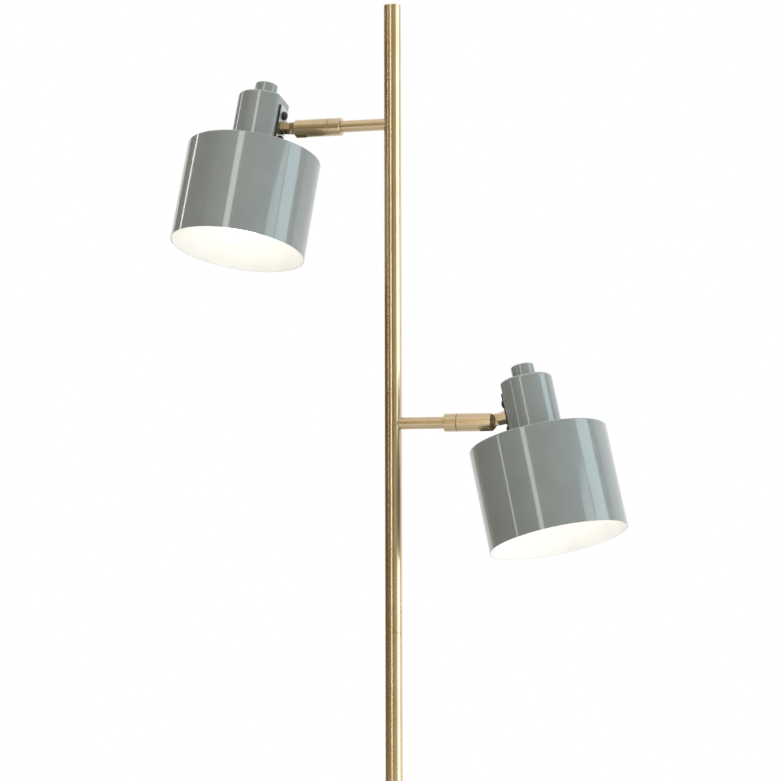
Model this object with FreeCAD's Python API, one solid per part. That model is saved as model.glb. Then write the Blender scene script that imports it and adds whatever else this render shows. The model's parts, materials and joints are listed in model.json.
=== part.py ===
import FreeCAD, Part
import math
import os

# Floor lamp with two reading heads: a round weighted base, a two-piece pole and two
# opposite arms. Each arm ends in a swivel fork that carries a tilting drum shade.
# Millimetres and degrees. The origin is on the floor under the pole, +Z is up and
# the lower arm points along +X, the upper one along -X.

Vector = FreeCAD.Vector
ORIGIN = Vector(0, 0, 0)
X_AXIS = Vector(1, 0, 0)
Y_AXIS = Vector(0, 1, 0)
Z_AXIS = Vector(0, 0, 1)

# ---- fits -------------------------------------------------------------------
FIXED_FIT = 0.05  # radial room of pressed, threaded and brazed fits
RUNNING_FIT = 0.05  # radial room of a shaft that turns in its bore
THRUST_GAP = 0.1  # between washers and the faces that turn on them
TURNING_GAP = 0.3  # between outer faces that turn past each other
THROUGH_MARGIN = 1.0  # how far a cutter runs past the face that it opens

# ---- base -------------------------------------------------------------------
BASE_DIAMETER = 240.0
BASE_HEIGHT = 20.0
BASE_EDGE_RADIUS = 4.0
COVER_WALL = 1.5
COVER_FLOOR_GAP = 1.0
PAD_THICKNESS = 2.0
PAD_INSET = 8.0
WEIGHT_SIDE_GAP = 0.5
RECESS_DIAMETER = 40.0
RECESS_DEPTH = 9.0
STUD_DIAMETER = 10.0
STUD_BORE = 6.4
STUD_FLOOR_GAP = 2.6
FOOT_PLUG_LENGTH = 30.0
FOOT_WASHER_DIAMETER = 26.0
FOOT_WASHER_THICKNESS = 2.0
FOOT_NUT_WIDTH = 17.0
FOOT_NUT_THICKNESS = 5.5
BUSHING_BORE = 6.4
BUSHING_NECK = 8.4
BUSHING_FLANGE = 11.0
BUSHING_FLANGE_THICKNESS = 1.4
CHANNEL_CLEARANCE = 0.5

# ---- pole -------------------------------------------------------------------
POLE_DIAMETER = 19.0
POLE_WALL = 1.2
POLE_SECTION = 690.0
POLE_SEAM_CHAMFER = 0.4
POLE_TOP_RADIUS = 0.8
JOINER_LENGTH = 70.0
JOINER_BORE = 9.0
TOP_PLUG_LENGTH = 10.0
TOP_PLUG_BORE = 10.0
TOP_PLUG_FACE = 2.5
PLUG_CHAMFER = 0.6
WIRE_HOLE = 8.0

# ---- arms: distances run from the pole's axis along the arm -------------------
UPPER_ARM_BELOW_TOP = 132.2
ARM_SPACING = 330.1
ARM_DIAMETER = 13.2
ARM_WALL = 1.0
SLEEVE_DIAMETER = 20.0
COLLAR_START = 59.0
COLLAR_LENGTH = 14.3
COLLAR_SEAT = 6.0
COLLAR_WEB = 3.0
SLEEVE_CHAMFER = 0.5
SEAM_CHAMFER = 0.3

# ---- swivel inside the collar -------------------------------------------------
NIPPLE_DIAMETER = 8.0
NIPPLE_BORE = 5.2
NIPPLE_GRIP = 10.0
NIPPLE_OVERRUN = 0.5
SWIVEL_NUT_WIDTH = 11.0
SWIVEL_NUT_THICKNESS = 3.0
SWIVEL_WASHER_DIAMETER = 12.4
SWIVEL_WASHER_THICKNESS = 0.8

# ---- fork and tilt pivot ------------------------------------------------------
PIVOT_DISTANCE = 107.0
NOSE_OVERHANG = 9.0
NOSE_CHAMFER = 4.0
PIN_DIAMETER = 5.0
EYE_RADIUS = 6.5
EYE_THICKNESS = 6.6
EYE_BACK_ROOM = 1.2
FRICTION_WASHER_DIAMETER = 12.0
FRICTION_WASHER_THICKNESS = 0.6

# ---- knuckle: distances run from the tilt pivot towards the shade --------------
KNUCKLE_HEX_START = 11.6
KNUCKLE_HEX_WIDTH = 12.6
KNUCKLE_ROOT_HEIGHT = 12.0
KNUCKLE_STUD = 8.0
KNUCKLE_BORE = 4.4
KNUCKLE_PORT = 3.8
KNUCKLE_PORT_DISTANCE = 8.6
LOCK_NUT_WIDTH = 14.0
LOCK_NUT_THICKNESS = 4.1
HEX_CORNER_SLOPE = math.tan(math.radians(30.0))

# ---- bracket on the neck's flat -------------------------------------------------
PLATE_WIDTH = 23.0
PLATE_HEIGHT = 48.0
PLATE_THICKNESS = 1.3
PLATE_CORNER_RADIUS = 2.0
GASKET_THICKNESS = 1.0
SCREW_OFFSET = 14.3
SCREW_DIAMETER = 5.0
SCREW_HEAD_DIAMETER = 10.0
SCREW_HEAD_HEIGHT = 3.9
SCREW_HEAD_RIM = 1.2
SCREW_CROSS_LENGTH = 5.4
SCREW_CROSS_WIDTH = 1.1
SCREW_CROSS_DEPTH = 1.8
NUT_PLATE_WIDTH = 20.0
NUT_PLATE_HEIGHT = 42.0
NUT_PLATE_THICKNESS = 2.0

# ---- shade: heights run up from the drum's top face -----------------------------
HEAD_OFFSET = 49.7
PIVOT_ABOVE_DRUM = 33.0
DRUM_DIAMETER = 150.0
DRUM_HEIGHT = 112.5
SHADE_WALL = 1.0
DRUM_EDGE_RADIUS = 1.5
NECK_DIAMETER = 58.4
NECK_HEIGHT = 68.0
NECK_FLAT_DEPTH = 4.7
NECK_TOP_RADIUS = 3.5
NECK_SIDE_RADIUS = 4.0

# ---- lampholder and bulb ----------------------------------------------------------
HOLDER_THREAD_DIAMETER = 38.0
HOLDER_MOUTH_BELOW = 18.0
HOLDER_THREAD_ABOVE = 10.0
HOLDER_BODY_DIAMETER = 35.0
HOLDER_BODY_TOP = 36.0
HOLDER_CAP_DIAMETER = 26.0
HOLDER_CAP_TOP = 42.0
HOLDER_CAVITY_DIAMETER = 27.6
HOLDER_CAVITY_TOP = 13.0
CLAMP_RING_DIAMETER = 45.0
CLAMP_RING_THICKNESS = 4.0
BULB_CAP_DIAMETER = 26.6
BULB_CAP_WALL = 0.6
BULB_CAP_BELOW = 17.0
BULB_CAP_LENGTH = 24.0
BULB_TIP_DIAMETER = 10.0
BULB_TIP_LENGTH = 3.0
BULB_DIAMETER = 60.0
BULB_CENTRE_BELOW = 66.0
BULB_WALL = 1.0
BULB_SEAT = 3.0
BULB_NECK_BELOW = 20.0

# ---- switch and knob -----------------------------------------------------------------
SWITCH_DIAMETER = 22.0
SWITCH_HEIGHT = 14.0
SWITCH_BUSH_DIAMETER = 9.8
SWITCH_BUSH_LENGTH = 4.0
SWITCH_NUT_WIDTH = 14.0
SWITCH_NUT_THICKNESS = 2.2
SPINDLE_DIAMETER = 6.0
SPINDLE_DEPTH = 8.0
SPINDLE_REACH = 12.0
KNOB_DIAMETER = 25.2
KNOB_HEIGHT = 15.9
KNOB_TOP_RADIUS = 1.6
KNOB_RECESS_DIAMETER = 18.0
KNOB_RECESS_DEPTH = 5.0

# ---- pose of the two heads as the lamp stands -------------------------------------------
# name, height of the arm, turn about the pole, swivel about the arm, tilt towards the pole
LAMP_HEIGHT = BASE_HEIGHT + 2 * POLE_SECTION
UPPER_ARM_HEIGHT = LAMP_HEIGHT - UPPER_ARM_BELOW_TOP
LAMPS = (
    ("upper", UPPER_ARM_HEIGHT, 180.0, 13.67, 5.24),
    ("lower", UPPER_ARM_HEIGHT - ARM_SPACING, 0.0, -8.77, 13.88),
)

# ---- sizes that follow from the ones above -------------------------------------------------
POLE_INNER_RADIUS = POLE_DIAMETER / 2 - POLE_WALL
BUSHING_HEIGHT = (COVER_FLOOR_GAP + BASE_HEIGHT - BASE_EDGE_RADIUS) / 2
COLLAR_END = COLLAR_START + COLLAR_LENGTH
COLLAR_BORE_RADIUS = ARM_DIAMETER / 2 + FIXED_FIT
FORK_START = COLLAR_END + TURNING_GAP
FORK_NOSE = PIVOT_DISTANCE + NOSE_OVERHANG
NIPPLE_END = FORK_START + NIPPLE_GRIP
SLOT_WIDTH = EYE_THICKNESS + 2 * (FRICTION_WASHER_THICKNESS + THRUST_GAP)
SLOT_START = PIVOT_DISTANCE - EYE_RADIUS - EYE_BACK_ROOM
FLAT_FACE = HEAD_OFFSET - NECK_DIAMETER / 2 + NECK_FLAT_DEPTH
GASKET_FACE = FLAT_FACE - GASKET_THICKNESS
PLATE_FACE = GASKET_FACE - PLATE_THICKNESS
NUT_PLATE_FACE = FLAT_FACE + SHADE_WALL
BRACKET_END = NUT_PLATE_FACE + NUT_PLATE_THICKNESS
LOCK_NUT_START = PLATE_FACE - LOCK_NUT_THICKNESS
HOLDER_HOLE_RADIUS = HOLDER_THREAD_DIAMETER / 2 + FIXED_FIT
STUD_HOLE_RADIUS = KNUCKLE_STUD / 2 + FIXED_FIT
SCREW_HOLE_RADIUS = SCREW_DIAMETER / 2 + FIXED_FIT


# ---- helpers --------------------------------------------------------------------------------
def rod(radius, start, end, axis=Z_AXIS):
    """Solid round bar along an axis through the origin, from start to end."""
    return Part.makeCylinder(radius, end - start, axis * start, axis)


def pipe(outer_radius, inner_radius, start, end, axis=Z_AXIS):
    """Round bar with a bore."""
    bore = rod(inner_radius, start - THROUGH_MARGIN, end + THROUGH_MARGIN, axis)
    return rod(outer_radius, start, end, axis).cut(bore)


def block(x_range, y_range, z_range):
    """Rectangular block between pairs of limits."""
    corner = Vector(x_range[0], y_range[0], z_range[0])
    size = (x_range[1] - x_range[0], y_range[1] - y_range[0], z_range[1] - z_range[0])
    return Part.makeBox(*size, corner)


def turned(outline, axis=Z_AXIS):
    """Solid of revolution. The outline lists (radius, position along the axis); a corner
    with a third value is the middle point of an arc between its two neighbours."""
    side = Y_AXIS if axis == X_AXIS else X_AXIS
    spots = [side * corner[0] + axis * corner[1] for corner in outline]
    middles = [len(corner) == 3 for corner in outline]
    edges = []
    count = len(outline)
    for index in range(count):
        after = (index + 1) % count
        if middles[index]:
            continue
        if middles[after]:
            arc_end = spots[(after + 1) % count]
            edges.append(Part.Arc(spots[index], spots[after], arc_end).toShape())
        else:
            edges.append(Part.makeLine(spots[index], spots[after]))
    face = Part.Face(Part.Wire(edges))
    return face.revolve(ORIGIN, axis, 360)


def arc_middle(centre, radius, angle):
    """Middle corner of an arc for turned(), at an angle above the radial direction."""
    turn = math.radians(angle)
    return (centre[0] + radius * math.cos(turn), centre[1] + radius * math.sin(turn), "arc")


def hexagon(width, start, end, axis=Z_AXIS, corner_side=None):
    """Hexagonal bar of a given width over its flats, with one corner towards corner_side."""
    first = corner_side if corner_side else X_AXIS
    reach = width / math.sqrt(3)
    second = axis.cross(first)
    corners = []
    for index in range(6):
        turn = math.radians(60 * index)
        corners.append(axis * start + first * (reach * math.cos(turn)) + second * (reach * math.sin(turn)))
    corners.append(corners[0])
    return Part.Face(Part.makePolygon(corners)).extrude(axis * (end - start))


def corner_cone(width, start, end, axis, both_ends):
    """Turned blank that takes the corners off a hexagon's first end, or off both ends."""
    flat_radius = width / 2
    corner_radius = width / math.sqrt(3)
    slope_length = (corner_radius - flat_radius) * HEX_CORNER_SLOPE
    outline = [(0, start), (flat_radius, start), (corner_radius, start + slope_length)]
    if both_ends:
        outline += [(corner_radius, end - slope_length), (flat_radius, end), (0, end)]
    else:
        outline += [(corner_radius, end), (0, end)]
    return turned(outline, axis)


def edges_where(shape, test):
    """Edges of a shape whose middle point passes a test."""
    return [edge for edge in shape.Edges if test(edge.CenterOfMass)]


def moved(shape, x=0.0, y=0.0, z=0.0):
    """Copy of a shape, shifted."""
    copy = shape.copy()
    copy.translate(Vector(x, y, z))
    return copy


# ---- base -------------------------------------------------------------------------------------
def base_cover():
    """Spun cover: a shallow dish turned over the weight, with holes for the stud and the cord."""
    rim = BASE_DIAMETER / 2
    bend_centre = (rim - BASE_EDGE_RADIUS, BASE_HEIGHT - BASE_EDGE_RADIUS)
    inner_bend = BASE_EDGE_RADIUS - COVER_WALL
    stud_hole = STUD_DIAMETER / 2 + FIXED_FIT
    cover = turned([
        (stud_hole, BASE_HEIGHT),
        (bend_centre[0], BASE_HEIGHT),
        arc_middle(bend_centre, BASE_EDGE_RADIUS, 45),
        (rim, bend_centre[1]),
        (rim, COVER_FLOOR_GAP),
        (rim - COVER_WALL, COVER_FLOOR_GAP),
        (rim - COVER_WALL, bend_centre[1]),
        arc_middle(bend_centre, inner_bend, 45),
        (bend_centre[0], BASE_HEIGHT - COVER_WALL),
        (stud_hole, BASE_HEIGHT - COVER_WALL),
    ])
    cord_hole = rod(BUSHING_NECK / 2 + FIXED_FIT, rim / 2, rim + THROUGH_MARGIN, Y_AXIS)
    return cover.cut(moved(cord_hole, z=BUSHING_HEIGHT))


def base_weight():
    """Cast disc with a nut recess below and a channel that leads the cord to the rear."""
    rim = BASE_DIAMETER / 2 - COVER_WALL - WEIGHT_SIDE_GAP
    top = BASE_HEIGHT - COVER_WALL
    bevel = BASE_EDGE_RADIUS - COVER_WALL + WEIGHT_SIDE_GAP
    recess_top = PAD_THICKNESS + RECESS_DEPTH
    recess_radius = RECESS_DIAMETER / 2
    stud_hole = STUD_DIAMETER / 2 + FIXED_FIT
    weight = turned([
        (recess_radius, PAD_THICKNESS),
        (rim, PAD_THICKNESS),
        (rim, top - bevel),
        (rim - bevel, top),
        (stud_hole, top),
        (stud_hole, recess_top),
        (recess_radius, recess_top),
    ])
    half_width = BUSHING_FLANGE / 2 + CHANNEL_CLEARANCE
    channel = block(
        (-half_width, half_width),
        (0, rim + THROUGH_MARGIN),
        (PAD_THICKNESS - THROUGH_MARGIN, BUSHING_HEIGHT + half_width),
    )
    keep_boss = rod(recess_radius - THROUGH_MARGIN, recess_top, top)
    return weight.cut(channel.cut(keep_boss))


def base_pad():
    """Soft disc under the weight that the lamp stands on."""
    return rod(BASE_DIAMETER / 2 - PAD_INSET, 0, PAD_THICKNESS)


def cord_bushing():
    """Rubber grommet in the cover's rear wall."""
    wall_outside = BASE_DIAMETER / 2
    inner_wall = wall_outside - COVER_WALL
    flange = BUSHING_FLANGE / 2
    seat = math.sqrt(inner_wall ** 2 - flange ** 2)
    bushing = turned([
        (BUSHING_BORE / 2, seat - BUSHING_FLANGE_THICKNESS),
        (flange, seat - BUSHING_FLANGE_THICKNESS),
        (flange, seat),
        (BUSHING_NECK / 2, seat),
        (BUSHING_NECK / 2, wall_outside),
        (flange, wall_outside),
        (BUSHING_BORE / 2, wall_outside + BUSHING_FLANGE_THICKNESS),
    ], Y_AXIS)
    return moved(bushing, z=BUSHING_HEIGHT)


def foot_insert():
    """Plug in the pole's lower end with a hollow stud that goes down through the base."""
    plug_radius = POLE_INNER_RADIUS - FIXED_FIT
    plug_top = BASE_HEIGHT + FOOT_PLUG_LENGTH
    return turned([
        (STUD_BORE / 2, STUD_FLOOR_GAP),
        (STUD_DIAMETER / 2, STUD_FLOOR_GAP),
        (STUD_DIAMETER / 2, BASE_HEIGHT),
        (plug_radius, BASE_HEIGHT),
        (plug_radius, plug_top - PLUG_CHAMFER),
        (plug_radius - PLUG_CHAMFER, plug_top),
        (STUD_BORE / 2, plug_top),
    ])


def foot_washer():
    top = PAD_THICKNESS + RECESS_DEPTH
    bore = STUD_DIAMETER / 2 + FIXED_FIT
    return pipe(FOOT_WASHER_DIAMETER / 2, bore, top - FOOT_WASHER_THICKNESS, top)


def foot_nut():
    top = PAD_THICKNESS + RECESS_DEPTH - FOOT_WASHER_THICKNESS
    bottom = top - FOOT_NUT_THICKNESS
    bore = rod(STUD_DIAMETER / 2 + FIXED_FIT, bottom - THROUGH_MARGIN, top + THROUGH_MARGIN)
    corners = corner_cone(FOOT_NUT_WIDTH, bottom, top, Z_AXIS, True)
    return hexagon(FOOT_NUT_WIDTH, bottom, top).common(corners).cut(bore)


# ---- pole -----------------------------------------------------------------------------------------
def pole_lower():
    outer = POLE_DIAMETER / 2
    top = BASE_HEIGHT + POLE_SECTION
    return turned([
        (POLE_INNER_RADIUS, BASE_HEIGHT),
        (outer, BASE_HEIGHT),
        (outer, top - POLE_SEAM_CHAMFER),
        (outer - POLE_SEAM_CHAMFER, top),
        (POLE_INNER_RADIUS, top),
    ])


def pole_upper():
    """Upper tube, with a hole for the wires behind each arm."""
    outer = POLE_DIAMETER / 2
    bottom = LAMP_HEIGHT - POLE_SECTION
    tube = turned([
        (POLE_INNER_RADIUS, bottom),
        (outer - POLE_SEAM_CHAMFER, bottom),
        (outer, bottom + POLE_SEAM_CHAMFER),
        (outer, LAMP_HEIGHT - POLE_TOP_RADIUS),
        arc_middle((outer - POLE_TOP_RADIUS, LAMP_HEIGHT - POLE_TOP_RADIUS), POLE_TOP_RADIUS, 45),
        (outer - POLE_TOP_RADIUS, LAMP_HEIGHT),
        (POLE_INNER_RADIUS, LAMP_HEIGHT),
    ])
    for lamp in LAMPS:
        hole = rod(WIRE_HOLE / 2, 0, POLE_DIAMETER, X_AXIS)
        tube = tube.cut(on_pole(hole, lamp))
    return tube


def pole_joiner():
    """Hollow plug that lines up the two tubes inside their seam."""
    seam = BASE_HEIGHT + POLE_SECTION
    radius = POLE_INNER_RADIUS - FIXED_FIT
    low = seam - JOINER_LENGTH / 2
    high = seam + JOINER_LENGTH / 2
    return turned([
        (JOINER_BORE / 2, low),
        (radius - PLUG_CHAMFER, low),
        (radius, low + PLUG_CHAMFER),
        (radius, high - PLUG_CHAMFER),
        (radius - PLUG_CHAMFER, high),
        (JOINER_BORE / 2, high),
    ])


def pole_top_plug():
    """Cup-shaped plug that closes the pole flush with its rim."""
    radius = POLE_INNER_RADIUS - FIXED_FIT
    bottom = LAMP_HEIGHT - TOP_PLUG_LENGTH
    return turned([
        (0, LAMP_HEIGHT),
        (radius, LAMP_HEIGHT),
        (radius, bottom + PLUG_CHAMFER),
        (radius - PLUG_CHAMFER, bottom),
        (TOP_PLUG_BORE / 2, bottom),
        (TOP_PLUG_BORE / 2, LAMP_HEIGHT - TOP_PLUG_FACE),
        (0, LAMP_HEIGHT - TOP_PLUG_FACE),
    ])


# ---- arm: X runs from the pole's axis outwards ------------------------------------------------------
def arm_tube():
    """Tube whose pole end is coped to the pole and whose other end seats in the collar."""
    end = COLLAR_START + COLLAR_SEAT
    tube = pipe(ARM_DIAMETER / 2, ARM_DIAMETER / 2 - ARM_WALL, 0, end, X_AXIS)
    pole = rod(POLE_DIAMETER / 2 + FIXED_FIT, -POLE_DIAMETER, POLE_DIAMETER)
    return tube.cut(pole)


def arm_collar():
    """Collar on the arm's end. Its web carries the nipple that the fork turns on."""
    outer = SLEEVE_DIAMETER / 2
    web_start = COLLAR_END - COLLAR_WEB
    nipple_hole = NIPPLE_DIAMETER / 2 + RUNNING_FIT
    return turned([
        (COLLAR_BORE_RADIUS, COLLAR_START),
        (outer - SLEEVE_CHAMFER, COLLAR_START),
        (outer, COLLAR_START + SLEEVE_CHAMFER),
        (outer, COLLAR_END - SEAM_CHAMFER),
        (outer - SEAM_CHAMFER, COLLAR_END),
        (nipple_hole, COLLAR_END),
        (nipple_hole, web_start),
        (COLLAR_BORE_RADIUS, web_start),
    ], X_AXIS)


def swivel_washer():
    end = COLLAR_END - COLLAR_WEB - THRUST_GAP
    bore = NIPPLE_DIAMETER / 2 + FIXED_FIT
    return pipe(SWIVEL_WASHER_DIAMETER / 2, bore, end - SWIVEL_WASHER_THICKNESS, end, X_AXIS)


def swivel_nut():
    end = COLLAR_END - COLLAR_WEB - THRUST_GAP - SWIVEL_WASHER_THICKNESS
    start = end - SWIVEL_NUT_THICKNESS
    bore = rod(NIPPLE_DIAMETER / 2 + FIXED_FIT, start - THROUGH_MARGIN, end + THROUGH_MARGIN, X_AXIS)
    return hexagon(SWIVEL_NUT_WIDTH, start, end, X_AXIS, Z_AXIS).cut(bore)


def swivel_nipple():
    """Hollow nipple screwed into the fork; it turns in the collar's web."""
    washer_end = COLLAR_END - COLLAR_WEB - THRUST_GAP
    start = washer_end - SWIVEL_WASHER_THICKNESS - SWIVEL_NUT_THICKNESS - NIPPLE_OVERRUN
    return pipe(NIPPLE_DIAMETER / 2, NIPPLE_BORE / 2, start, NIPPLE_END, X_AXIS)


def fork_blank():
    """Outer form of the fork: a turned bar with a bevelled nose."""
    outer = SLEEVE_DIAMETER / 2
    return turned([
        (0, FORK_START),
        (outer - SEAM_CHAMFER, FORK_START),
        (outer, FORK_START + SEAM_CHAMFER),
        (outer, FORK_NOSE - NOSE_CHAMFER),
        (outer - NOSE_CHAMFER, FORK_NOSE),
        (0, FORK_NOSE),
    ], X_AXIS)


def fork():
    """Slotted fork: two ears hold the pivot pin, and the bore leads the wires to the slot."""
    reach = SLEEVE_DIAMETER
    slot = block(
        (SLOT_START, FORK_NOSE + THROUGH_MARGIN),
        (-SLOT_WIDTH / 2, SLOT_WIDTH / 2),
        (-reach, reach),
    )
    nipple_bore = rod(NIPPLE_DIAMETER / 2 + FIXED_FIT, FORK_START - THROUGH_MARGIN, NIPPLE_END, X_AXIS)
    wire_bore = rod(NIPPLE_BORE / 2, FORK_START, SLOT_START + THROUGH_MARGIN, X_AXIS)
    pin_hole = moved(rod(PIN_DIAMETER / 2 + FIXED_FIT, -reach, reach, Y_AXIS), PIVOT_DISTANCE)
    return fork_blank().cut(slot).cut(nipple_bore).cut(wire_bore).cut(pin_hole)


def pivot_pin():
    """Pin whose ends are dressed flush with the fork."""
    pin = rod(PIN_DIAMETER / 2, -SLEEVE_DIAMETER, SLEEVE_DIAMETER, Y_AXIS)
    return moved(pin, PIVOT_DISTANCE).common(fork_blank())


def friction_washers():
    """One washer inside each ear."""
    outside = SLOT_WIDTH / 2
    inside = outside - FRICTION_WASHER_THICKNESS
    radius = FRICTION_WASHER_DIAMETER / 2
    bore = PIN_DIAMETER / 2 + FIXED_FIT
    washers = [pipe(radius, bore, inside, outside, Y_AXIS), pipe(radius, bore, -outside, -inside, Y_AXIS)]
    return moved(Part.makeCompound(washers), PIVOT_DISTANCE)


# ---- knuckle and bracket: the origin is on the tilt pivot, X runs towards the shade -------------------
def knuckle():
    """Eye between the ears, a hexagon beside the nose and a hollow stud through the bracket."""
    half = EYE_THICKNESS / 2
    eye = rod(EYE_RADIUS, -half, half, Y_AXIS)
    root_reach = KNUCKLE_ROOT_HEIGHT / 2
    root = block((0, KNUCKLE_HEX_START), (-half, half), (-root_reach, root_reach))
    hexagon_bar = hexagon(KNUCKLE_HEX_WIDTH, KNUCKLE_HEX_START, LOCK_NUT_START, X_AXIS, Z_AXIS)
    bevelled = hexagon_bar.common(
        corner_cone(KNUCKLE_HEX_WIDTH, KNUCKLE_HEX_START, LOCK_NUT_START, X_AXIS, False)
    )
    stud = rod(KNUCKLE_STUD / 2, LOCK_NUT_START, BRACKET_END, X_AXIS)
    body = eye.fuse(root).fuse(bevelled).fuse(stud).removeSplitter()
    pin_bore = rod(PIN_DIAMETER / 2 + RUNNING_FIT, -SLEEVE_DIAMETER, SLEEVE_DIAMETER, Y_AXIS)
    wire_bore = rod(KNUCKLE_BORE / 2, KNUCKLE_PORT_DISTANCE, BRACKET_END + THROUGH_MARGIN, X_AXIS)
    port = moved(rod(KNUCKLE_PORT / 2, -SLEEVE_DIAMETER, 0), KNUCKLE_PORT_DISTANCE)
    return body.cut(pin_bore).cut(wire_bore).cut(port)


def knuckle_nut():
    """Lock nut between the knuckle and the bracket plate."""
    blank = hexagon(LOCK_NUT_WIDTH, LOCK_NUT_START, PLATE_FACE, X_AXIS, Z_AXIS)
    corners = corner_cone(LOCK_NUT_WIDTH, LOCK_NUT_START, PLATE_FACE, X_AXIS, True)
    bore = rod(STUD_HOLE_RADIUS, LOCK_NUT_START - THROUGH_MARGIN, PLATE_FACE + THROUGH_MARGIN, X_AXIS)
    return blank.common(corners).cut(bore)


def bracket_holes(start, end):
    """Cutters for the knuckle's stud and the two screws, through a stretch along X."""
    stud_hole = rod(STUD_HOLE_RADIUS, start, end, X_AXIS)
    screw_hole = rod(SCREW_HOLE_RADIUS, start, end, X_AXIS)
    return Part.makeCompound([stud_hole, moved(screw_hole, z=SCREW_OFFSET), moved(screw_hole, z=-SCREW_OFFSET)])


def flat_strip(width, height, start, end):
    """Upright strip with rounded corners and the bracket's three holes."""
    strip = block((start, end), (-width / 2, width / 2), (-height / 2, height / 2))
    corners = [edge for edge in strip.Edges if abs(edge.tangentAt(edge.FirstParameter).x) > 0.5]
    strip = strip.makeFillet(PLATE_CORNER_RADIUS, corners)
    return strip.cut(bracket_holes(start - THROUGH_MARGIN, end + THROUGH_MARGIN))


def bracket_plate():
    return flat_strip(PLATE_WIDTH, PLATE_HEIGHT, PLATE_FACE, GASKET_FACE)


def bracket_gasket():
    return flat_strip(PLATE_WIDTH, PLATE_HEIGHT, GASKET_FACE, FLAT_FACE)


def nut_plate():
    """Threaded plate inside the neck."""
    return flat_strip(NUT_PLATE_WIDTH, NUT_PLATE_HEIGHT, NUT_PLATE_FACE, BRACKET_END)


def bracket_screws():
    """Two pan-head screws with a cross recess."""
    head_radius = SCREW_HEAD_DIAMETER / 2
    head_top = PLATE_FACE - SCREW_HEAD_HEIGHT
    rim_top = PLATE_FACE - SCREW_HEAD_RIM
    dome_height = rim_top - head_top
    dome_middle = (head_radius * math.sqrt(0.5), rim_top - dome_height * math.sqrt(0.5), "arc")
    screw = turned([
        (0, head_top),
        dome_middle,
        (head_radius, rim_top),
        (head_radius, PLATE_FACE),
        (SCREW_DIAMETER / 2, PLATE_FACE),
        (SCREW_DIAMETER / 2, BRACKET_END),
        (0, BRACKET_END),
    ], X_AXIS)
    long_half = SCREW_CROSS_LENGTH / 2
    short_half = SCREW_CROSS_WIDTH / 2
    depth = (head_top - THROUGH_MARGIN, head_top + SCREW_CROSS_DEPTH)
    upright = block(depth, (-short_half, short_half), (-long_half, long_half))
    level = block(depth, (-long_half, long_half), (-short_half, short_half))
    screw = screw.cut(upright.fuse(level))
    return Part.makeCompound([moved(screw, z=SCREW_OFFSET), moved(screw, z=-SCREW_OFFSET)])


# ---- shade: the origin is on the drum's top face, on the shade's axis -----------------------------------
def neck_form(inset):
    """Rounded cylinder with a flat towards the arm, shrunk by an inset on all sides but the base."""
    radius = NECK_DIAMETER / 2 - inset
    flat = NECK_DIAMETER / 2 - NECK_FLAT_DEPTH - inset
    top = NECK_HEIGHT - inset
    form = rod(radius, inset, top).common(block((-flat, radius), (-radius, radius), (inset, top)))
    uprights = [edge for edge in form.Edges if len(edge.Vertexes) == 2 and
                abs(edge.Vertexes[0].Z - edge.Vertexes[1].Z) > top / 2 and edge.CenterOfMass.x < 0]
    form = form.makeFillet(NECK_SIDE_RADIUS - inset, uprights)
    top_edges = edges_where(form, lambda middle: abs(middle.z - top) < FIXED_FIT)
    return form.makeFillet(NECK_TOP_RADIUS - inset, top_edges)


def neck():
    """Cup over the lampholder. Its floor has the holder's hole and its flat the bracket's holes."""
    shell = neck_form(0.0).cut(neck_form(SHADE_WALL))
    holder_hole = rod(HOLDER_HOLE_RADIUS, -THROUGH_MARGIN, SHADE_WALL + THROUGH_MARGIN)
    bush_hole = rod(SWITCH_BUSH_DIAMETER / 2 + FIXED_FIT, NECK_HEIGHT / 2, NECK_HEIGHT + THROUGH_MARGIN)
    side_holes = moved(bracket_holes(0, HEAD_OFFSET), x=-HEAD_OFFSET, z=PIVOT_ABOVE_DRUM)
    return shell.cut(holder_hole).cut(bush_hole).cut(side_holes)


def drum():
    """Open drum, spun in one piece, with the lampholder's hole in its top."""
    outer = DRUM_DIAMETER / 2
    bend = outer - DRUM_EDGE_RADIUS
    inner_bend = DRUM_EDGE_RADIUS - SHADE_WALL
    bend_centre = (bend, -DRUM_EDGE_RADIUS)
    return turned([
        (HOLDER_HOLE_RADIUS, 0),
        (bend, 0),
        arc_middle(bend_centre, DRUM_EDGE_RADIUS, 45),
        (outer, -DRUM_EDGE_RADIUS),
        (outer, -DRUM_HEIGHT),
        (outer - SHADE_WALL, -DRUM_HEIGHT),
        (outer - SHADE_WALL, -DRUM_EDGE_RADIUS),
        arc_middle(bend_centre, inner_bend, 45),
        (bend, -SHADE_WALL),
        (HOLDER_HOLE_RADIUS, -SHADE_WALL),
    ])


def lampholder():
    """Screw lampholder: its threaded skirt passes through the neck's floor and the drum."""
    cavity = HOLDER_CAVITY_DIAMETER / 2
    thread = HOLDER_THREAD_DIAMETER / 2
    body = HOLDER_BODY_DIAMETER / 2
    cap = HOLDER_CAP_DIAMETER / 2
    return turned([
        (cavity, -HOLDER_MOUTH_BELOW),
        (thread, -HOLDER_MOUTH_BELOW),
        (thread, HOLDER_THREAD_ABOVE),
        (body, HOLDER_THREAD_ABOVE),
        (body, HOLDER_BODY_TOP),
        (cap, HOLDER_CAP_TOP),
        (0, HOLDER_CAP_TOP),
        (0, HOLDER_CAVITY_TOP),
        (cavity, HOLDER_CAVITY_TOP),
    ])


def clamp_rings():
    """Threaded rings on the holder's skirt, one on the neck's floor and one under the drum's top."""
    radius = CLAMP_RING_DIAMETER / 2
    upper = pipe(radius, HOLDER_HOLE_RADIUS, SHADE_WALL, SHADE_WALL + CLAMP_RING_THICKNESS)
    lower = pipe(radius, HOLDER_HOLE_RADIUS, -SHADE_WALL - CLAMP_RING_THICKNESS, -SHADE_WALL)
    return Part.makeCompound([upper, lower])


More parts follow.
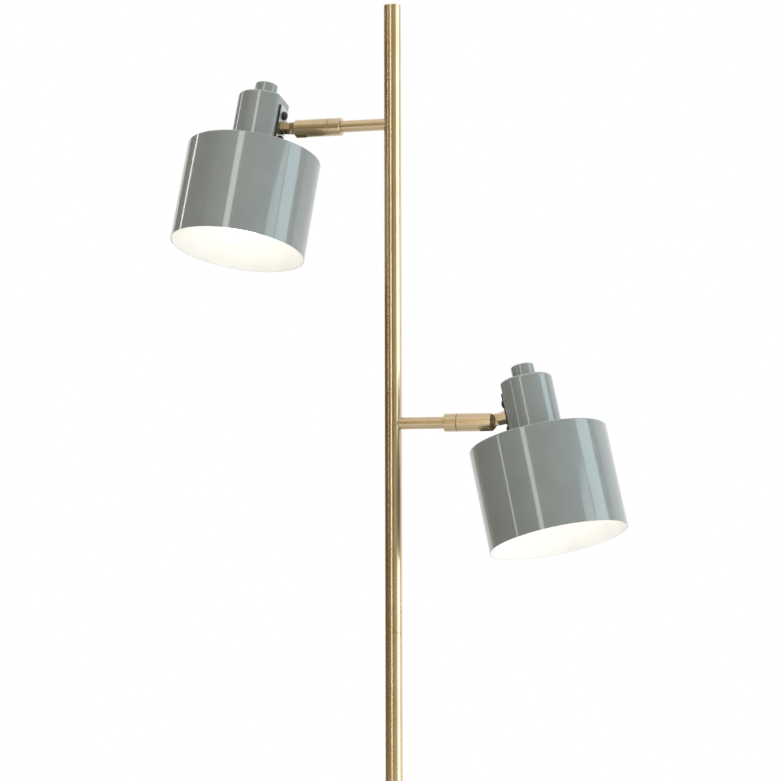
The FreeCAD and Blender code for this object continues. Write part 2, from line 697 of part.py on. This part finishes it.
def bulb_cap():
    """Metal screw cap of the bulb, open below where the glass seats in it."""
    radius = BULB_CAP_DIAMETER / 2
    inner = radius - BULB_CAP_WALL
    tip = BULB_TIP_DIAMETER / 2
    bottom = -BULB_CAP_BELOW
    shoulder = bottom + BULB_CAP_LENGTH
    top = shoulder + BULB_TIP_LENGTH
    return turned([
        (inner, bottom),
        (radius, bottom),
        (radius, shoulder),
        (tip, top),
        (0, top),
        (0, top - BULB_CAP_WALL),
        (tip - BULB_CAP_WALL, top - BULB_CAP_WALL),
        (inner, shoulder - BULB_CAP_WALL),
    ])


def bulb_half(neck_radius, sphere_radius, seat_top):
    """Half outline of a bulb: a short neck, a cone that touches the sphere, and the sphere."""
    rise = BULB_CENTRE_BELOW - BULB_NECK_BELOW
    reach = math.hypot(neck_radius, rise)
    touch = math.degrees(math.atan2(rise, neck_radius) - math.acos(sphere_radius / reach))
    centre = (0.0, -BULB_CENTRE_BELOW)
    touch_point = arc_middle(centre, sphere_radius, touch)[:2]
    return [
        (neck_radius, seat_top),
        (neck_radius, -BULB_NECK_BELOW),
        touch_point,
        arc_middle(centre, sphere_radius, (touch - 90) / 2),
        (0, -BULB_CENTRE_BELOW - sphere_radius),
    ]


def bulb_glass():
    """Frosted glass, hollow and closed except where the cap takes it."""
    neck_radius = BULB_CAP_DIAMETER / 2 - BULB_CAP_WALL - FIXED_FIT
    seat_top = -BULB_CAP_BELOW + BULB_SEAT
    outside = bulb_half(neck_radius, BULB_DIAMETER / 2, seat_top)
    inside = bulb_half(neck_radius - BULB_WALL, BULB_DIAMETER / 2 - BULB_WALL, seat_top)
    return turned(outside + inside[::-1])


# ---- switch: same origin as the shade ----------------------------------------------------------------------
def switch_body():
    """Rotary switch under the neck's top, with its threaded bush through the hole."""
    ceiling = NECK_HEIGHT - SHADE_WALL
    bush_top = NECK_HEIGHT + SWITCH_BUSH_LENGTH
    bore = SPINDLE_DIAMETER / 2 + RUNNING_FIT
    floor = ceiling - SWITCH_HEIGHT
    bore_floor = ceiling - SPINDLE_DEPTH - THRUST_GAP
    return turned([
        (0, floor),
        (SWITCH_DIAMETER / 2, floor),
        (SWITCH_DIAMETER / 2, ceiling),
        (SWITCH_BUSH_DIAMETER / 2, ceiling),
        (SWITCH_BUSH_DIAMETER / 2, bush_top),
        (bore, bush_top),
        (bore, bore_floor),
        (0, bore_floor),
    ])


def switch_nut():
    top = NECK_HEIGHT + SWITCH_NUT_THICKNESS
    blank = hexagon(SWITCH_NUT_WIDTH, NECK_HEIGHT, top)
    bore = rod(SWITCH_BUSH_DIAMETER / 2 + FIXED_FIT, NECK_HEIGHT / 2, top + THROUGH_MARGIN)
    return blank.cut(bore)


def switch_spindle():
    ceiling = NECK_HEIGHT - SHADE_WALL
    return rod(SPINDLE_DIAMETER / 2, ceiling - SPINDLE_DEPTH, NECK_HEIGHT + SPINDLE_REACH)


def knob():
    """Plain round knob, hollowed below for the switch's nut and bored for the spindle."""
    radius = KNOB_DIAMETER / 2
    bottom = NECK_HEIGHT + TURNING_GAP
    top = NECK_HEIGHT + KNOB_HEIGHT
    recess_top = NECK_HEIGHT + KNOB_RECESS_DEPTH
    bore_top = NECK_HEIGHT + SPINDLE_REACH + THRUST_GAP
    bore = SPINDLE_DIAMETER / 2 + FIXED_FIT
    return turned([
        (KNOB_RECESS_DIAMETER / 2, bottom),
        (radius, bottom),
        (radius, top - KNOB_TOP_RADIUS),
        arc_middle((radius - KNOB_TOP_RADIUS, top - KNOB_TOP_RADIUS), KNOB_TOP_RADIUS, 45),
        (radius - KNOB_TOP_RADIUS, top),
        (0, top),
        (0, bore_top),
        (bore, bore_top),
        (bore, recess_top),
        (KNOB_RECESS_DIAMETER / 2, recess_top),
    ])


# ---- placing --------------------------------------------------------------------------------------------------
def on_pole(shape, lamp):
    """Puts a piece of an arm at its height and on its side of the pole."""
    name, height, turn, swivel, tilt = lamp
    placed = shape.copy()
    placed.rotate(ORIGIN, Z_AXIS, turn)
    placed.translate(Vector(0, 0, height))
    return placed


def on_swivel(shape, lamp):
    """Turns a piece of the fork about the arm, then puts it on the pole."""
    name, height, turn, swivel, tilt = lamp
    placed = shape.copy()
    placed.rotate(ORIGIN, X_AXIS, swivel)
    return on_pole(placed, lamp)


def on_pivot(shape, lamp):
    """Tilts a piece of the knuckle or bracket towards the pole, then puts it in the fork."""
    name, height, turn, swivel, tilt = lamp
    placed = shape.copy()
    placed.rotate(ORIGIN, Y_AXIS, -tilt)
    placed.translate(Vector(PIVOT_DISTANCE, 0, 0))
    return on_swivel(placed, lamp)


def on_head(shape, lamp):
    """Moves a piece of the shade beside the pivot, then tilts it with the bracket."""
    return on_pivot(moved(shape, x=HEAD_OFFSET, z=-PIVOT_ABOVE_DRUM), lamp)


STAND_PIECES = {
    "base_pad": base_pad,
    "base_weight": base_weight,
    "base_cover": base_cover,
    "cord_bushing": cord_bushing,
    "foot_insert": foot_insert,
    "foot_washer": foot_washer,
    "foot_nut": foot_nut,
    "pole_lower": pole_lower,
    "pole_joiner": pole_joiner,
    "pole_upper": pole_upper,
    "pole_top_plug": pole_top_plug,
}

LAMP_PIECES = {
    "arm_tube": (arm_tube, on_pole),
    "arm_collar": (arm_collar, on_pole),
    "swivel_washer": (swivel_washer, on_swivel),
    "swivel_nut": (swivel_nut, on_swivel),
    "swivel_nipple": (swivel_nipple, on_swivel),
    "fork": (fork, on_swivel),
    "pivot_pin": (pivot_pin, on_swivel),
    "friction_washers": (friction_washers, on_swivel),
    "knuckle": (knuckle, on_pivot),
    "knuckle_nut": (knuckle_nut, on_pivot),
    "bracket_plate": (bracket_plate, on_pivot),
    "bracket_gasket": (bracket_gasket, on_pivot),
    "bracket_screws": (bracket_screws, on_pivot),
    "nut_plate": (nut_plate, on_pivot),
    "neck": (neck, on_head),
    "drum": (drum, on_head),
    "lampholder": (lampholder, on_head),
    "clamp_rings": (clamp_rings, on_head),
    "bulb_cap": (bulb_cap, on_head),
    "bulb_glass": (bulb_glass, on_head),
    "switch_body": (switch_body, on_head),
    "switch_nut": (switch_nut, on_head),
    "switch_spindle": (switch_spindle, on_head),
    "knob": (knob, on_head),
}


def export(shape, node):
    shape.exportStep("parts/" + node + ".step")


os.makedirs("parts", exist_ok=True)
for node, make in STAND_PIECES.items():
    export(make(), node)
for node, (make, place) in LAMP_PIECES.items():
    piece = make()
    for lamp in LAMPS:
        export(place(piece, lamp), lamp[0] + "_" + node)
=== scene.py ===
import json
import math

import bpy
from mathutils import Matrix, Vector


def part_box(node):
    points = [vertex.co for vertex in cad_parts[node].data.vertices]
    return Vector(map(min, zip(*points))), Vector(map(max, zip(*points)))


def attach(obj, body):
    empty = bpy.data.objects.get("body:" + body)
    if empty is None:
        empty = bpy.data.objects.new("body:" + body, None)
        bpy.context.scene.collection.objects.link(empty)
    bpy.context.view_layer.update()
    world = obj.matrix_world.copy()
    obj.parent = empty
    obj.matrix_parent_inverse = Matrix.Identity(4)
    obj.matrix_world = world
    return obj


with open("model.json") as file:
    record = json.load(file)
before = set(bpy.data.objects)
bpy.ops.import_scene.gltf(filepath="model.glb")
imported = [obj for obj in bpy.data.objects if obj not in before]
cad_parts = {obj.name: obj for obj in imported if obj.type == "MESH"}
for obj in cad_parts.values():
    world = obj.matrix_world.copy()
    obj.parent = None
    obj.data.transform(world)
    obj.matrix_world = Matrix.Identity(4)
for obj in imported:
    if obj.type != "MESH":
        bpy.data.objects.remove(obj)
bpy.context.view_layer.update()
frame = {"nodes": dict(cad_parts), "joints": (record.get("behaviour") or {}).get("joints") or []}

NODES = frame["nodes"]
JOINTS = {joint["name"]: joint for joint in frame["joints"]}
SIDES = ("upper", "lower")

# A colour Mix node's sockets, which share their names with its other kinds.
MIX_FIRST, MIX_SECOND, MIX_RESULT = 6, 7, 2


# ---- camera -----------------------------------------------------------------------------
PHOTO_WIDTH = 780  # pixels
FOCAL_PIXELS = 2598.0
SENSOR_WIDTH = 36.0  # millimetres
CAMERA_PLACE = (0.8413, -2.7129, 0.8151)
CAMERA_AZIMUTH = 17.30  # degrees, from straight ahead along +Y
CAMERA_PITCH = 3.20
CAMERA_ROLL = -0.13


def turn(degrees, axis):
    return Matrix.Rotation(math.radians(degrees), 4, axis)


def make_camera():
    """The photograph's viewpoint: a long lens a little below the heads, looking slightly up."""
    data = bpy.data.cameras.new("camera")
    data.sensor_fit = "HORIZONTAL"
    data.sensor_width = SENSOR_WIDTH
    data.lens = FOCAL_PIXELS * SENSOR_WIDTH / PHOTO_WIDTH
    camera = bpy.data.objects.new("camera", data)
    aim = turn(CAMERA_AZIMUTH, "Z") @ turn(90 + CAMERA_PITCH, "X") @ turn(CAMERA_ROLL, "Z")
    camera.matrix_world = Matrix.Translation(CAMERA_PLACE) @ aim
    bpy.context.scene.collection.objects.link(camera)
    bpy.context.scene.camera = camera


# ---- node helpers -----------------------------------------------------------------------
class Shader:
    """A material's node tree with one Principled shader, and short ways to add nodes."""

    def __init__(self, name):
        self.material = bpy.data.materials.new(name)
        self.material.use_nodes = True
        self.tree = self.material.node_tree
        self.principled_in = self.tree.nodes["Principled BSDF"].inputs
        coordinates = self.tree.nodes.new("ShaderNodeTexCoord")
        self.spot = coordinates.outputs["Object"]  # metres, in the part's own frame

    def node(self, kind, **settings):
        made = self.tree.nodes.new(kind)
        for key, value in settings.items():
            setattr(made, key, value)
        return made

    def link(self, source, target):
        self.tree.links.new(source, target)

    def set(self, values):
        for socket, value in values.items():
            self.principled_in[socket].default_value = value

    def stretched(self, scale):
        """The coordinates, scaled by a number for each axis."""
        mapping = self.node("ShaderNodeMapping", vector_type="POINT")
        mapping.inputs["Scale"].default_value = scale
        self.link(self.spot, mapping.inputs["Vector"])
        return mapping.outputs["Vector"]

    def noise(self, scale, detail=2.0, roughness=0.5, vector=None):
        made = self.node("ShaderNodeTexNoise")
        made.inputs["Scale"].default_value = scale
        made.inputs["Detail"].default_value = detail
        made.inputs["Roughness"].default_value = roughness
        self.link(vector or self.spot, made.inputs["Vector"])
        return made.outputs["Fac"]

    def ramp(self, value, span, ends=(0.0, 1.0)):
        """The value's span, mapped smoothly to the two ends."""
        made = self.node("ShaderNodeMapRange", interpolation_type="SMOOTHSTEP")
        made.inputs["From Min"].default_value, made.inputs["From Max"].default_value = span
        made.inputs["To Min"].default_value, made.inputs["To Max"].default_value = ends
        self.link(value, made.inputs["Value"])
        return made.outputs["Result"]

    def mix(self, factor, first, second):
        made = self.node("ShaderNodeMix", data_type="RGBA")
        self.link(factor, made.inputs["Factor"])
        made.inputs[MIX_FIRST].default_value = (*first, 1.0)
        made.inputs[MIX_SECOND].default_value = (*second, 1.0)
        return made.outputs[MIX_RESULT]

    def bump(self, height, distance, strength=1.0):
        made = self.node("ShaderNodeBump")
        made.inputs["Strength"].default_value = strength
        made.inputs["Distance"].default_value = distance
        self.link(height, made.inputs["Height"])
        return made.outputs["Normal"]

    def finish(self, colour, roughness, normal=None):
        self.link(colour, self.principled_in["Base Color"])
        self.link(roughness, self.principled_in["Roughness"])
        if normal is not None:
            self.link(normal, self.principled_in["Normal"])
        return self.material


# ---- materials --------------------------------------------------------------------------
# Each surface runs between a bright and a deep colour, and between two roughnesses.
LACQUER, LACQUER_DEEP = (0.270, 0.294, 0.284), (0.253, 0.277, 0.267)
LACQUER_ROUGHNESS = (0.34, 0.42)
LACQUER_COAT = {"Coat Weight": 1.0, "Coat Roughness": 0.075, "Coat IOR": 1.7}
LACQUER_CLOUD = 35.0
PEEL = 700.0

ENAMEL, ENAMEL_DEEP = (0.86, 0.85, 0.82), (0.83, 0.82, 0.78)
ENAMEL_ROUGHNESS = (0.4, 0.5)
ENAMEL_CLOUD = 40.0
ENAMEL_GRAIN = 800.0

BRASS, BRASS_DEEP = (0.76, 0.575, 0.32), (0.70, 0.51, 0.26)
# The arms' brass is the pole's brass painted darker: painted shade.
SHADED_ARM_BRASS, SHADED_ARM_BRASS_DEEP = (0.56, 0.41, 0.22), (0.50, 0.36, 0.18)
# The knuckles' brass is painted darker still: painted shade that dims their highlight.
SHADED_KNUCKLE_BRASS = (0.42, 0.31, 0.17)
BRASS_ROUGHNESS = (0.24, 0.28)
KNUCKLE_ROUGHNESS = (0.30, 0.36)
BRASS_COAT = {"Metallic": 1.0, "Coat Weight": 1.0, "Coat Roughness": 0.08, "Coat IOR": 1.9}
BRASS_CLOUD = 18.0
BRASS_CLOUD_SPAN = (0.35, 0.65)
BRUSHED_ALONG_X = (1.2, 1400.0, 1400.0)
BRUSHED_ALONG_Z = (1400.0, 1400.0, 1.2)
BRUSH_ROUGHNESS = 0.6  # of the noise that makes the lines
BRUSH_DEPTH = 0.000002
BRUSH_STRENGTH = 0.5
# name: direction of the brushing, colour, deep colour, roughness
BRASSES = {
    "pole_brass": (BRUSHED_ALONG_Z, BRASS, BRASS_DEEP, BRASS_ROUGHNESS),
    "shaded_arm_brass": (BRUSHED_ALONG_X, SHADED_ARM_BRASS, SHADED_ARM_BRASS_DEEP, BRASS_ROUGHNESS),
    "shaded_knuckle_brass": (BRUSHED_ALONG_X, SHADED_KNUCKLE_BRASS, SHADED_ARM_BRASS_DEEP, KNUCKLE_ROUGHNESS),
}

BULB, BULB_DEEP = (0.96, 0.95, 0.91), (0.92, 0.90, 0.84)
BULB_ROUGHNESS = (0.3, 0.4)
BULB_CLOUD = 60.0
BULB_LIGHT = {"Emission Strength": 2.7, "Emission Color": (1.0, 0.985, 0.975, 1.0)}

CLOUD_SPAN = (0.3, 0.7)  # the part of a noise's range that carries the variation
CLOUD_DETAIL = 3.0
FINE_HEIGHT = 0.00002
PLAIN_CLOUD = 60.0
GRAIN_TO_CLOUD = 12

# name: colour, deep colour, metallic, roughness
PLAIN = {
    "bright_steel": ((0.60, 0.61, 0.62), (0.52, 0.53, 0.54), 1.0, (0.28, 0.38)),
    "plated_steel": ((0.62, 0.64, 0.60), (0.50, 0.52, 0.48), 1.0, (0.30, 0.40)),
    "black_steel": ((0.020, 0.020, 0.020), (0.012, 0.012, 0.012), 0.0, (0.30, 0.45)),
    "cast_weight": ((0.10, 0.10, 0.10), (0.07, 0.07, 0.07), 0.0, (0.6, 0.75)),
    "pad_rubber": ((0.030, 0.030, 0.030), (0.022, 0.022, 0.022), 0.0, (0.7, 0.85)),
    "gasket_rubber": ((0.020, 0.020, 0.020), (0.014, 0.014, 0.014), 0.0, (0.6, 0.7)),
    "holder_plastic": ((0.80, 0.79, 0.76), (0.76, 0.75, 0.71), 0.0, (0.3, 0.4)),
}
# name: scale of the cloud, height of the grain
COARSE = {"cast_weight": (90.0, 0.0002), "pad_rubber": (120.0, 0.0001)}

# Each part's material; a head's parts are named without their side.
MADE_OF = {
    "pole_brass": "base_cover pole_lower pole_upper pole_top_plug",
    "shaded_arm_brass": "arm_tube arm_collar fork pivot_pin",
    "shaded_knuckle_brass": "knuckle knuckle_nut",
    "grey_lacquer": "neck drum knob",
    "frosted_glass": "bulb_glass",
    "bright_steel": "foot_insert foot_washer foot_nut pole_joiner swivel_washer swivel_nut "
                    "swivel_nipple friction_washers nut_plate bulb_cap switch_nut switch_spindle",
    "plated_steel": "bracket_plate",
    "black_steel": "bracket_screws",
    "cast_weight": "base_weight",
    "pad_rubber": "base_pad cord_bushing",
    "gasket_rubber": "bracket_gasket",
    "holder_plastic": "lampholder clamp_rings switch_body",
}


def lacquer():
    """Glossy grey stove lacquer with a faint orange peel."""
    shader = Shader("grey_lacquer")
    shader.set(LACQUER_COAT)
    cloud = shader.noise(LACQUER_CLOUD, CLOUD_DETAIL)
    colour = shader.mix(shader.ramp(cloud, CLOUD_SPAN), LACQUER_DEEP, LACQUER)
    roughness = shader.ramp(cloud, CLOUD_SPAN, LACQUER_ROUGHNESS)
    return shader.finish(colour, roughness, shader.bump(shader.noise(PEEL), FINE_HEIGHT))


def enamel():
    """White enamel inside the drums."""
    shader = Shader("white_enamel")
    cloud = shader.noise(ENAMEL_CLOUD)
    colour = shader.mix(shader.ramp(cloud, CLOUD_SPAN), ENAMEL_DEEP, ENAMEL)
    roughness = shader.ramp(cloud, CLOUD_SPAN, ENAMEL_ROUGHNESS)
    return shader.finish(colour, roughness, shader.bump(shader.noise(ENAMEL_GRAIN), FINE_HEIGHT))


def brass(name, brushed, bright, deep, rough):
    """Satin brass under clear lacquer, brushed along one direction of its own frame."""
    shader = Shader(name)
    shader.set(BRASS_COAT)
    lines = shader.noise(1.0, CLOUD_DETAIL, BRUSH_ROUGHNESS, shader.stretched(brushed))
    cloud = shader.noise(BRASS_CLOUD, CLOUD_DETAIL)
    colour = shader.mix(shader.ramp(cloud, BRASS_CLOUD_SPAN), deep, bright)
    roughness = shader.ramp(lines, CLOUD_SPAN, rough)
    return shader.finish(colour, roughness, shader.bump(lines, BRUSH_DEPTH, BRUSH_STRENGTH))


def plain(name, colour, deep, metallic, roughness):
    """A plain surface with a little variation of colour, gloss and height."""
    scale, height = COARSE.get(name, (PLAIN_CLOUD, FINE_HEIGHT))
    shader = Shader(name)
    shader.set({"Metallic": metallic})
    cloud = shader.noise(scale, CLOUD_DETAIL)
    mixed = shader.mix(shader.ramp(cloud, CLOUD_SPAN), deep, colour)
    rough = shader.ramp(cloud, CLOUD_SPAN, roughness)
    return shader.finish(mixed, rough, shader.bump(shader.noise(scale * GRAIN_TO_CLOUD), height))


def frosted():
    """Frosted bulb, alight."""
    shader = Shader("frosted_glass")
    shader.set(BULB_LIGHT)
    cloud = shader.noise(BULB_CLOUD)
    colour = shader.mix(shader.ramp(cloud, CLOUD_SPAN), BULB_DEEP, BULB)
    return shader.finish(colour, shader.ramp(cloud, CLOUD_SPAN, BULB_ROUGHNESS))


def make_materials():
    """Each material under its name here: Blender numbers one whose name the frame has taken."""
    made = {name: brass(name, *look) for name, look in BRASSES.items()}
    made.update({name: plain(name, *look) for name, look in PLAIN.items()})
    made.update(grey_lacquer=lacquer(), white_enamel=enamel(), frosted_glass=frosted())
    return made


def give_materials(materials):
    """One material for each node, from the table."""
    table = {part: name for name, parts in MADE_OF.items() for part in parts.split()}
    for node, piece in NODES.items():
        side, _, rest = node.partition("_")
        piece.data.materials.clear()
        piece.data.materials.append(materials[table[rest if side in SIDES else node]])


# ---- two-coloured parts -----------------------------------------------------------------
OUTER_WALL = 0.3  # a face looks outward from here up: cosine of its normal to the radius
OUTER_TOP = 0.5  # a face looks up from here up: cosine of its normal to the drum's axis
PLATE_FACE = 0.7  # a face is the plate's front or back from here up, and below it an edge, painted black as painted shade


def paint_second(node, material, is_second):
    """The faces that the test picks take a second material."""
    mesh = NODES[node].data
    mesh.materials.append(material)
    for face in mesh.polygons:
        if is_second(face):
            face.material_index = 1


def paint_inside(side, white):
    """The drum's inner wall, its ceiling and its rim are enamelled."""
    knob = JOINTS[side + "_knob_turn"]
    up = -Vector(knob["axis"]).normalized()
    centre = Vector(knob["pos_m"])

    def is_inside(face):
        offset = face.center - centre
        radial = offset - up * offset.dot(up)
        outward = radial.dot(face.normal) > OUTER_WALL * radial.length
        return not outward and face.normal.dot(up) < OUTER_TOP

    paint_second(side + "_drum", white, is_inside)


def paint_edge_shade(side, black):
    """The bracket plate's cut edges are painted black: painted shade."""
    swivel = Vector(JOINTS[side + "_swivel"]["axis"]).normalized()
    paint_second(side + "_bracket_plate", black,
                 lambda face: abs(face.normal.dot(swivel)) < PLATE_FACE)


# ---- added pieces -----------------------------------------------------------------------
POLE_RADIUS = 0.0095
ARM_RADIUS = 0.0066
BRAZE_RADIUS = 0.0006
BRAZE_SINK = 0.0002
BRAZE_AROUND, BRAZE_SECTION = 72, 12  # vertices round the arm and round the fillet


def make_braze(side, material):
    """Fine fillet of brazing where an arm's tube meets the pole."""
    low, high = (Vector(corner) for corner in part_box(side + "_arm_tube"))
    height = (low.z + high.z) / 2
    outward = 1.0 if abs(high.x) > abs(low.x) else -1.0
    along = Vector((1.0, 0.0, 0.0))
    vertices, faces = [], []
    for i in range(BRAZE_AROUND):
        turned = 2 * math.pi * i / BRAZE_AROUND
        radial = Vector((0.0, math.cos(turned), math.sin(turned)))
        y, z = ARM_RADIUS * math.cos(turned), ARM_RADIUS * math.sin(turned)
        x = math.sqrt(POLE_RADIUS ** 2 - y ** 2) - BRAZE_SINK
        here, after = i * BRAZE_SECTION, ((i + 1) % BRAZE_AROUND) * BRAZE_SECTION
        for j in range(BRAZE_SECTION):
            angle = 2 * math.pi * j / BRAZE_SECTION
            offset = BRAZE_RADIUS * (math.cos(angle) * radial + math.sin(angle) * along)
            vertices.append((outward * (x + offset.x), y + offset.y, height + z + offset.z))
            k = (j + 1) % BRAZE_SECTION
            corners = (here + j, after + j, after + k, here + k)
            faces.append(corners if outward > 0 else corners[::-1])
    mesh = bpy.data.meshes.new(side + "_arm_braze")
    mesh.from_pydata(vertices, [], faces)
    mesh.shade_smooth()
    mesh.materials.append(material)
    piece = bpy.data.objects.new(side + "_arm_braze", mesh)
    bpy.context.scene.collection.objects.link(piece)
    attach(piece, "stand")


# ---- world and floor --------------------------------------------------------------------
FILL = (0.40, 0.39, 0.36)
WHITE = (1.0, 1.0, 1.0)
FLOOR_RADIUS = 7.0
FLOOR_SIDES = 96
FLOOR_COLOUR = (0.82, 0.82, 0.81)
FLOOR_ROUGHNESS = 0.7
FADE = {"From Min": 0.3, "From Max": 2.4, "To Min": 0.45, "To Max": 1.0}


def seen_directly(tree):
    """1 for rays that should see the white background: from the camera or off metal and glass."""
    path = tree.nodes.new("ShaderNodeLightPath")
    result = path.outputs["Is Camera Ray"]
    for name in ("Is Glossy Ray", "Is Transmission Ray"):
        larger = tree.nodes.new("ShaderNodeMath")
        larger.operation = "MAXIMUM"
        tree.links.new(result, larger.inputs[0])
        tree.links.new(path.outputs[name], larger.inputs[1])
        result = larger.outputs[0]
    return result


def make_world():
    """White where it is seen, and a soft warm fill where it lights the lamp."""
    world = bpy.data.worlds.new("studio")
    world.use_nodes = True
    tree = world.node_tree
    colour = tree.nodes.new("ShaderNodeMix")
    colour.data_type = "RGBA"
    colour.inputs[MIX_FIRST].default_value = (*FILL, 1.0)
    colour.inputs[MIX_SECOND].default_value = (*WHITE, 1.0)
    tree.links.new(seen_directly(tree), colour.inputs["Factor"])
    tree.links.new(colour.outputs[MIX_RESULT], tree.nodes["Background"].inputs["Color"])
    bpy.context.scene.world = world


def make_floor():
    """Pale floor that fades to the white of the background away from the lamp."""
    bpy.ops.mesh.primitive_circle_add(vertices=FLOOR_SIDES, radius=FLOOR_RADIUS, fill_type="NGON")
    floor = bpy.context.object
    floor.name = "floor"
    material = bpy.data.materials.new("floor")
    material.use_nodes = True
    tree = material.node_tree
    shader = tree.nodes["Principled BSDF"]
    shader.inputs["Base Color"].default_value = (*FLOOR_COLOUR, 1.0)
    shader.inputs["Roughness"].default_value = FLOOR_ROUGHNESS
    glow = tree.nodes.new("ShaderNodeEmission")
    place = tree.nodes.new("ShaderNodeTexCoord")
    distance = tree.nodes.new("ShaderNodeVectorMath")
    distance.operation = "LENGTH"
    tree.links.new(place.outputs["Object"], distance.inputs[0])
    fade = tree.nodes.new("ShaderNodeMapRange")
    fade.interpolation_type = "SMOOTHSTEP"
    for name, value in FADE.items():
        fade.inputs[name].default_value = value
    tree.links.new(distance.outputs["Value"], fade.inputs["Value"])
    share = tree.nodes.new("ShaderNodeMath")
    share.operation = "MULTIPLY"
    tree.links.new(fade.outputs["Result"], share.inputs[0])
    tree.links.new(seen_directly(tree), share.inputs[1])
    blend = tree.nodes.new("ShaderNodeMixShader")
    tree.links.new(share.outputs[0], blend.inputs["Fac"])
    tree.links.new(shader.outputs[0], blend.inputs[1])
    tree.links.new(glow.outputs[0], blend.inputs[2])
    tree.links.new(blend.outputs[0], tree.nodes["Material Output"].inputs["Surface"])
    floor.data.materials.append(material)


# ---- lights and cards -------------------------------------------------------------------
COOL = (0.74, 0.91, 1.0)
# Strips and panels where the photograph's reflections show them:
# name, azimuth, distance, height, (width, height), radiance, colour, height aimed at
SEEN_LIGHTS = (
    ("strip_front_low", -8.5, 2.2, 1.15, (0.27, 1.9), 3.1, WHITE, 1.15),
    ("strip_front_high", -6.0, 2.2, 2.75, (0.44, 1.1), 3.3, WHITE, 1.05),
    ("strip_thin", -53.0, 2.2, 1.45, (0.11, 1.1), 3.2, WHITE, 1.45),
    ("strip_left", -101.0, 2.0, 2.3, (0.15, 1.0), 5.0, WHITE, 1.05),
    ("panel_right", 97.0, 2.2, 1.45, (0.95, 2.7), 2.4, COOL, 1.45),
    ("panel_right_front", 74.0, 2.3, 1.05, (0.70, 1.9), 1.8, COOL, 1.05),
)
# Soft lights that reflections don't see.
UNSEEN_LIGHTS = (
    ("overhead", 20.0, 0.8, 2.9, (1.4, 1.4), 1.8, WHITE, 1.05),
    ("soft_key", 40.0, 3.0, 2.0, (2.0, 2.0), 0.75, WHITE, 1.05),
)
# Cards that only reflections see: name, azimuths, heights, colour
FLAG_DISTANCE = 3.4
FLAG_STEPS = 24
FLAGS = (
    ("flag_left", (-125.0, -50.0), (0.0, 4.6), (0.14, 0.11, 0.065)),
    ("flag_front_low", (-50.0, 24.0), (0.0, 2.0), (0.19, 0.155, 0.10)),
    ("flag_front_high", (-50.0, 24.0), (2.0, 4.0), (0.42, 0.37, 0.29)),
    ("flag_right", (24.0, 125.0), (0.0, 4.6), (0.42, 0.42, 0.38)),
)


def place_round(azimuth, distance, height):
    """A point round the lamp, its azimuth measured from -Y towards +X."""
    bearing = math.radians(azimuth)
    return Vector((distance * math.sin(bearing), -distance * math.cos(bearing), height))


def area_light(name, azimuth, distance, height, size, radiance, colour, aim_height):
    """Softbox round the lamp, turned to it."""
    data = bpy.data.lights.new(name, "AREA")
    data.shape = "RECTANGLE"
    data.size, data.size_y = size
    data.energy = radiance * math.pi * size[0] * size[1]
    data.color = colour
    light = bpy.data.objects.new(name, data)
    place = place_round(azimuth, distance, height)
    aim = Vector((0.0, 0.0, aim_height)) - place
    facing = aim.to_track_quat("-Z", "Y").to_matrix().to_4x4()
    light.matrix_world = Matrix.Translation(place) @ facing
    light.visible_camera = False
    bpy.context.scene.collection.objects.link(light)
    return light


def flag(name, azimuths, heights, colour):
    """Curved glowing card that stands round the lamp and that only reflections see."""
    start, end = azimuths
    corners = []
    for index in range(FLAG_STEPS + 1):
        azimuth = start + (end - start) * index / FLAG_STEPS
        corners += [place_round(azimuth, FLAG_DISTANCE, height) for height in heights]
    faces = [(2 * i, 2 * i + 2, 2 * i + 3, 2 * i + 1) for i in range(FLAG_STEPS)]
    mesh = bpy.data.meshes.new(name)
    mesh.from_pydata(corners, [], faces)
    material = bpy.data.materials.new(name)
    material.use_nodes = True
    tree = material.node_tree
    tree.nodes.remove(tree.nodes["Principled BSDF"])
    glow = tree.nodes.new("ShaderNodeEmission")
    glow.inputs["Color"].default_value = (*colour, 1.0)
    tree.links.new(glow.outputs[0], tree.nodes["Material Output"].inputs["Surface"])
    mesh.materials.append(material)
    card = bpy.data.objects.new(name, mesh)
    bpy.context.scene.collection.objects.link(card)
    card.visible_camera = False
    card.visible_diffuse = False
    card.visible_shadow = False
    card.visible_transmission = False


def make_lights():
    for settings in SEEN_LIGHTS:
        area_light(*settings)
    for settings in UNSEEN_LIGHTS:
        area_light(*settings).visible_glossy = False
    for settings in FLAGS:
        flag(*settings)


bpy.context.scene.view_settings.view_transform = "Standard"
make_camera()
make_world()
make_floor()
make_lights()
materials = make_materials()
give_materials(materials)
for side in SIDES:
    paint_inside(side, materials["white_enamel"])
    paint_edge_shade(side, materials["black_steel"])
    make_braze(side, materials["shaded_arm_brass"])
